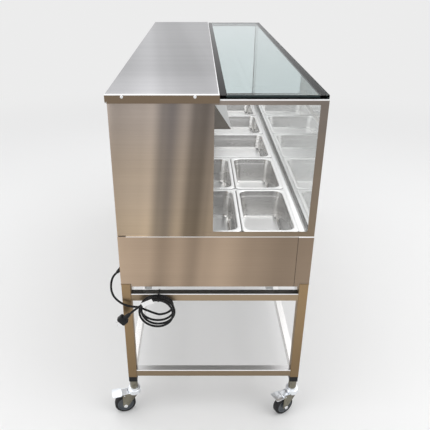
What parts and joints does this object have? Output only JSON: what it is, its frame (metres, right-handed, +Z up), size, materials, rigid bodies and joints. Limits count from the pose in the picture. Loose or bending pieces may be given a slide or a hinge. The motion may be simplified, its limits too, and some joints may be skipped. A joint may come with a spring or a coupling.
{
  "type": "heated display case",
  "caption": "Long stainless heated display case with glass front, ends and top, lift-out food pans, rear sliding doors and a wheeled square-tube stand with braked casters.",
  "frame": {"origin": "on the floor under the middle of the stand", "axes": "+Z up, +X along the length away from the end with the cord, +Y to the operator side with the sliding doors"},
  "size_m": [1.886, 0.7332, 1.162],
  "materials": {
    "case_steel": "warm brushed stainless, lengthwise grain",
    "cover_steel": "brushed stainless",
    "pan_steel": "bright drawn stainless",
    "stand_steel": "polished square tube",
    "inner_steel": "mill finish sheet",
    "clear_glass": "clear toughened glass, polished edges",
    "zinc": "bright zinc plate",
    "tyre_rubber": "black rubber tyre on a grey centre",
    "black_plastic": "moulded black",
    "white_plastic": "white nylon",
    "cord_rubber": "black sheath",
    "element_sheath": "heat-tinted tube",
    "lamp_quartz": "quartz tube with ceramic ends",
    "rocker_red": "translucent red",
    "tag_paper": "blank white card"
  },
  "bodies": {
    "case": {"stand_legs": "stand_steel", "stand_rails": "stand_steel", "stem_sockets": "black_plastic", "caster_stems": "zinc", "foot_blocks": "white_plastic", "lower_end_panels": "case_steel", "front_fascia": "case_steel", "rear_fascia": "case_steel", "base_panel": "inner_steel", "well_tank": "inner_steel", "well_deck": "pan_steel", "heating_elements": "element_sheath", "thermostat": "black_plastic", "lamp_switch": "black_plastic", "terminal_block": "black_plastic", "cord_gland": "black_plastic", "upper_end_panels": "case_steel", "end_glasses": "clear_glass", "front_glass": "clear_glass", "glass_channel": "cover_steel", "top_glass": "clear_glass", "top_frame": "cover_steel", "top_cover": "cover_steel", "cover_screws": "cover_steel", "lamp_hood": "cover_steel", "heat_lamps": "lamp_quartz", "rear_door_frame": "case_steel", "cord_lead": "cord_rubber", "cord_coil": "cord_rubber", "cord_tail": "cord_rubber", "plug": "black_plastic", "cable_tie": "black_plastic", "cord_tag": "tag_paper"},
    "caster_1": {"caster_1_fork": "zinc"},
    "caster_1_wheel_body": {"caster_1_wheel": "tyre_rubber"},
    "caster_1_pedal_body": {"caster_1_pedal": "zinc"},
    "caster_2": {"caster_2_fork": "zinc"},
    "caster_2_wheel_body": {"caster_2_wheel": "tyre_rubber"},
    "caster_2_pedal_body": {"caster_2_pedal": "zinc"},
    "caster_3": {"caster_3_fork": "zinc"},
    "caster_3_wheel_body": {"caster_3_wheel": "tyre_rubber"},
    "caster_3_pedal_body": {"caster_3_pedal": "zinc"},
    "caster_4": {"caster_4_fork": "zinc"},
    "caster_4_wheel_body": {"caster_4_wheel": "tyre_rubber"},
    "caster_4_pedal_body": {"caster_4_pedal": "zinc"},
    "door_left": {"sliding_door_left": "clear_glass"},
    "door_right": {"sliding_door_right": "clear_glass"},
    "knob": {"thermostat_knob": "black_plastic"},
    "rocker": {"switch_rocker": "rocker_red"},
    "third_pan_1_body": {"third_pan_1": "pan_steel"},
    "third_pan_2_body": {"third_pan_2": "pan_steel"},
    "third_pan_3_body": {"third_pan_3": "pan_steel"},
    "third_pan_4_body": {"third_pan_4": "pan_steel"},
    "third_pan_5_body": {"third_pan_5": "pan_steel"},
    "third_pan_6_body": {"third_pan_6": "pan_steel"},
    "full_pan_body": {"full_pan": "pan_steel"},
    "half_pan_1_body": {"half_pan_1": "pan_steel"},
    "half_pan_2_body": {"half_pan_2": "pan_steel"},
    "half_pan_3_body": {"half_pan_3": "pan_steel"},
    "half_pan_4_body": {"half_pan_4": "pan_steel"}
  },
  "joints": [
    {"name": "caster_1_swivel", "type": "hinge", "parent": "case", "child": "caster_1", "pos_m": [-0.885, 0.285, 0.095], "axis": [0, 0, 1], "continuous": true},
    {"name": "caster_1_roll", "type": "hinge", "parent": "caster_1", "child": "caster_1_wheel_body", "pos_m": [-0.89432, 0.31977, 0.0375], "axis": [-0.9659, -0.2588, 0], "continuous": true},
    {"name": "caster_1_brake", "type": "hinge", "parent": "caster_1", "child": "caster_1_pedal_body", "pos_m": [-0.89484, 0.32171, 0.082], "axis": [-0.9659, -0.2588, 0], "range_deg": [0, 12]},
    {"name": "caster_2_swivel", "type": "hinge", "parent": "case", "child": "caster_2", "pos_m": [-0.885, -0.285, 0.095], "axis": [0, 0, 1], "continuous": true},
    {"name": "caster_2_roll", "type": "hinge", "parent": "caster_2", "child": "caster_2_wheel_body", "pos_m": [-0.903, -0.25382, 0.0375], "axis": [-0.866, -0.5, 0], "continuous": true},
    {"name": "caster_2_brake", "type": "hinge", "parent": "caster_2", "child": "caster_2_pedal_body", "pos_m": [-0.904, -0.25209, 0.082], "axis": [-0.866, -0.5, 0], "range_deg": [0, 12]},
    {"name": "caster_3_swivel", "type": "hinge", "parent": "case", "child": "caster_3", "pos_m": [0.885, -0.285, 0.095], "axis": [0, 0, 1], "continuous": true},
    {"name": "caster_3_roll", "type": "hinge", "parent": "caster_3", "child": "caster_3_wheel_body", "pos_m": [0.89432, -0.31977, 0.0375], "axis": [0.9659, 0.2588, 0], "continuous": true},
    {"name": "caster_3_brake", "type": "hinge", "parent": "caster_3", "child": "caster_3_pedal_body", "pos_m": [0.89484, -0.32171, 0.082], "axis": [0.9659, 0.2588, 0], "range_deg": [0, 12]},
    {"name": "caster_4_swivel", "type": "hinge", "parent": "case", "child": "caster_4", "pos_m": [0.885, 0.285, 0.095], "axis": [0, 0, 1], "continuous": true},
    {"name": "caster_4_roll", "type": "hinge", "parent": "caster_4", "child": "caster_4_wheel_body", "pos_m": [0.903, 0.25382, 0.0375], "axis": [0.866, 0.5, 0], "continuous": true},
    {"name": "caster_4_brake", "type": "hinge", "parent": "caster_4", "child": "caster_4_pedal_body", "pos_m": [0.904, 0.25209, 0.082], "axis": [0.866, 0.5, 0], "range_deg": [0, 12]},
    {"name": "door_left_slide", "type": "slide", "parent": "case", "child": "door_left", "axis": [1, 0, 0], "range_m": [0, 0.8]},
    {"name": "door_right_slide", "type": "slide", "parent": "case", "child": "door_right", "axis": [-1, 0, 0], "range_m": [0, 0.84]},
    {"name": "thermostat_turn", "type": "hinge", "parent": "case", "child": "knob", "pos_m": [-0.7, 0.3, 0.64], "axis": [0, -1, 0], "range_deg": [0, 270]},
    {"name": "lamp_switch_rock", "type": "hinge", "parent": "case", "child": "rocker", "pos_m": [-0.62, 0.3, 0.64], "axis": [-1, 0, 0], "range_deg": [0, 20]},
    {"name": "third_pan_1_lift", "type": "slide", "parent": "case", "child": "third_pan_1_body", "axis": [0, 0, 1], "range_m": [0, 0.12]},
    {"name": "third_pan_2_lift", "type": "slide", "parent": "case", "child": "third_pan_2_body", "axis": [0, 0, 1], "range_m": [0, 0.12]},
    {"name": "third_pan_3_lift", "type": "slide", "parent": "case", "child": "third_pan_3_body", "axis": [0, 0, 1], "range_m": [0, 0.12]},
    {"name": "third_pan_4_lift", "type": "slide", "parent": "case", "child": "third_pan_4_body", "axis": [0, 0, 1], "range_m": [0, 0.12]},
    {"name": "third_pan_5_lift", "type": "slide", "parent": "case", "child": "third_pan_5_body", "axis": [0, 0, 1], "range_m": [0, 0.12]},
    {"name": "third_pan_6_lift", "type": "slide", "parent": "case", "child": "third_pan_6_body", "axis": [0, 0, 1], "range_m": [0, 0.12]},
    {"name": "full_pan_lift", "type": "slide", "parent": "case", "child": "full_pan_body", "axis": [0, 0, 1], "range_m": [0, 0.12]},
    {"name": "half_pan_1_lift", "type": "slide", "parent": "case", "child": "half_pan_1_body", "axis": [0, 0, 1], "range_m": [0, 0.12]},
    {"name": "half_pan_2_lift", "type": "slide", "parent": "case", "child": "half_pan_2_body", "axis": [0, 0, 1], "range_m": [0, 0.12]},
    {"name": "half_pan_3_lift", "type": "slide", "parent": "case", "child": "half_pan_3_body", "axis": [0, 0, 1], "range_m": [0, 0.12]},
    {"name": "half_pan_4_lift", "type": "slide", "parent": "case", "child": "half_pan_4_body", "axis": [0, 0, 1], "range_m": [0, 0.12]}
  ]
}
